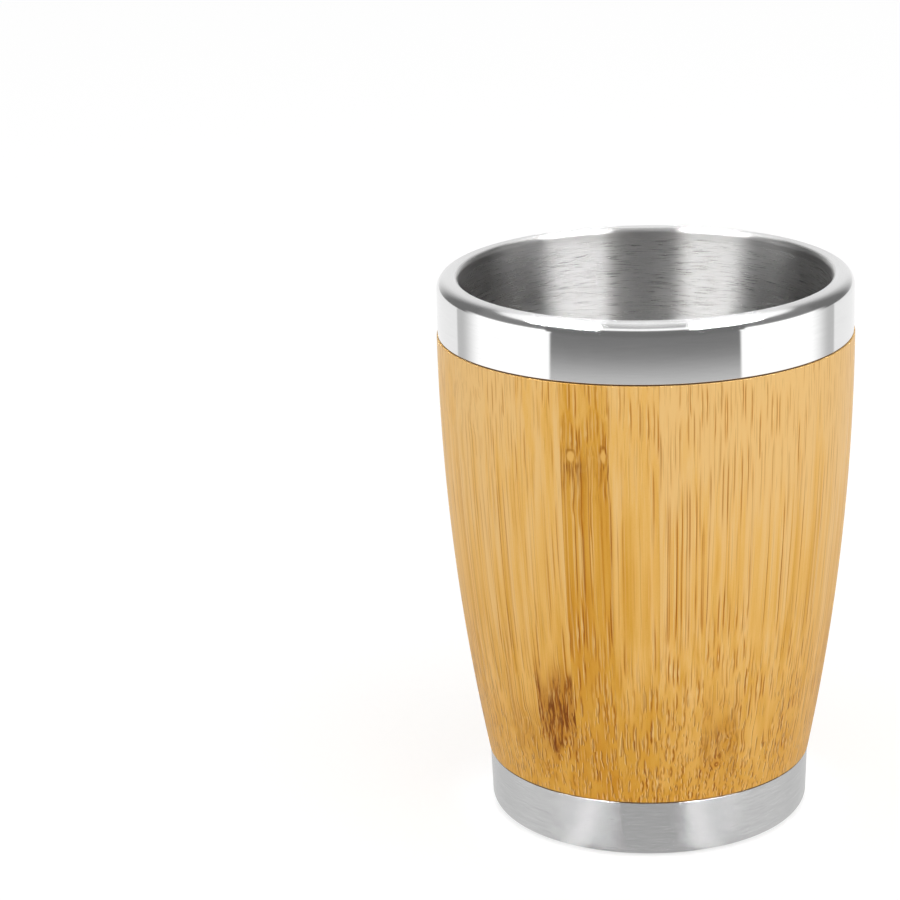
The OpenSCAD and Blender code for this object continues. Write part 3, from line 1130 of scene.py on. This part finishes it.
class CUP_OT_stage(bpy.types.Operator):
    """Make the floor, the lamps and the camera"""

    bl_idname = "cup.stage"
    bl_label = "Stage"

    def execute(self, context):
        look = context.scene.stage_look
        floor = bmesh.new()
        bmesh.ops.create_grid(floor, x_segments=1, y_segments=1, size=look.floor_size / 2)
        stage_piece("floor", floor, floor_material(look))

        studio_world(look)
        for side in (-1, 1):
            level = look.softbox if side > 0 else look.softbox * 0.5
            softbox(f"softbox_{side + 2}", side * SOFTBOX_TURN, level)
        self.place_camera(context, look)
        return {"FINISHED"}

    def place_camera(self, context, look):
        """The camera looks past the cup, which stands low and right in the picture."""
        target = Vector((0, 0, AIM_Z))
        lift = look.camera_height
        back = Vector((0, -math.cos(lift), math.sin(lift)))
        ahead = -back
        right = ahead.cross(UP).normalized()
        upward = right.cross(ahead)
        swing = math.atan2(CUP_RIGHT_PX, FOCAL_PX)
        nod = math.atan2(-CUP_DOWN_PX, math.hypot(FOCAL_PX, CUP_RIGHT_PX))
        swung_right = right * math.cos(swing) + ahead * math.sin(swing)
        swung_ahead = ahead * math.cos(swing) - right * math.sin(swing)
        tipped_up = upward * math.cos(nod) + swung_ahead * math.sin(nod)
        tipped_ahead = swung_ahead * math.cos(nod) - upward * math.sin(nod)
        axes = Matrix((swung_right, tipped_up, -tipped_ahead)).transposed()
        turned = Matrix.Rotation(-CAMERA_ROLL, 3, ahead) @ axes

        lens = bpy.data.cameras.new("camera")
        lens.sensor_width = 36.0
        lens.sensor_fit = "HORIZONTAL"
        lens.lens = FOCAL_PX / FRAME_PX * lens.sensor_width
        lens.clip_start = 0.01
        lens.clip_end = 20.0
        camera = bpy.data.objects.new("camera", lens)
        camera.matrix_world = Matrix.Translation(target + back * look.camera_distance) @ turned.to_4x4()
        context.scene.collection.objects.link(camera)
        context.scene.camera = camera
        context.scene.view_settings.view_transform = "Standard"


class CUP_PT_panel(bpy.types.Panel):
    """Lists what the cup is made of"""

    bl_idname = "CUP_PT_panel"
    bl_label = "Bamboo cup"
    bl_space_type = "VIEW_3D"
    bl_region_type = "UI"
    bl_category = "Cup"

    def draw(self, context):
        for operator in OPERATORS:
            self.layout.operator(operator.bl_idname)
        for group in GROUPS:
            box = self.layout.box()
            settings = getattr(context.scene, group)
            for name in settings.bl_rna.properties.keys():
                if name not in ("rna_type", "name"):
                    box.prop(settings, name)


GROUPS = {
    "cup_sizes": CupSizes,
    "bamboo_look": BambooLook,
    "steel_look": SteelLook,
    "hidden_look": HiddenLook,
    "stage_look": StageLook,
}
OPERATORS = (
    CUP_OT_collar,
    CUP_OT_inner_cup,
    CUP_OT_base,
    CUP_OT_glue_lines,
    CUP_OT_staves,
    CUP_OT_hidden_parts,
    CUP_OT_stage,
)


def register():
    """Registers the settings, the operators and the panel."""
    for group in GROUPS.values():
        bpy.utils.register_class(group)
    for name, group in GROUPS.items():
        setattr(bpy.types.Scene, name, bpy.props.PointerProperty(type=group))
    for operator in OPERATORS:
        bpy.utils.register_class(operator)
    bpy.utils.register_class(CUP_PT_panel)


def unregister():
    """Takes them away again."""
    bpy.utils.unregister_class(CUP_PT_panel)
    for operator in reversed(OPERATORS):
        bpy.utils.unregister_class(operator)
    for name in GROUPS:
        delattr(bpy.types.Scene, name)
    for group in reversed(GROUPS.values()):
        bpy.utils.unregister_class(group)


def main():
    """Builds the cup and its studio."""
    register()
    bpy.ops.cup.collar()
    bpy.ops.cup.inner_cup()
    bpy.ops.cup.base()
    bpy.ops.cup.glue_lines()
    bpy.ops.cup.staves()
    bpy.ops.cup.hidden_parts()
    bpy.ops.cup.stage()


if __name__ == "__main__":
    main()
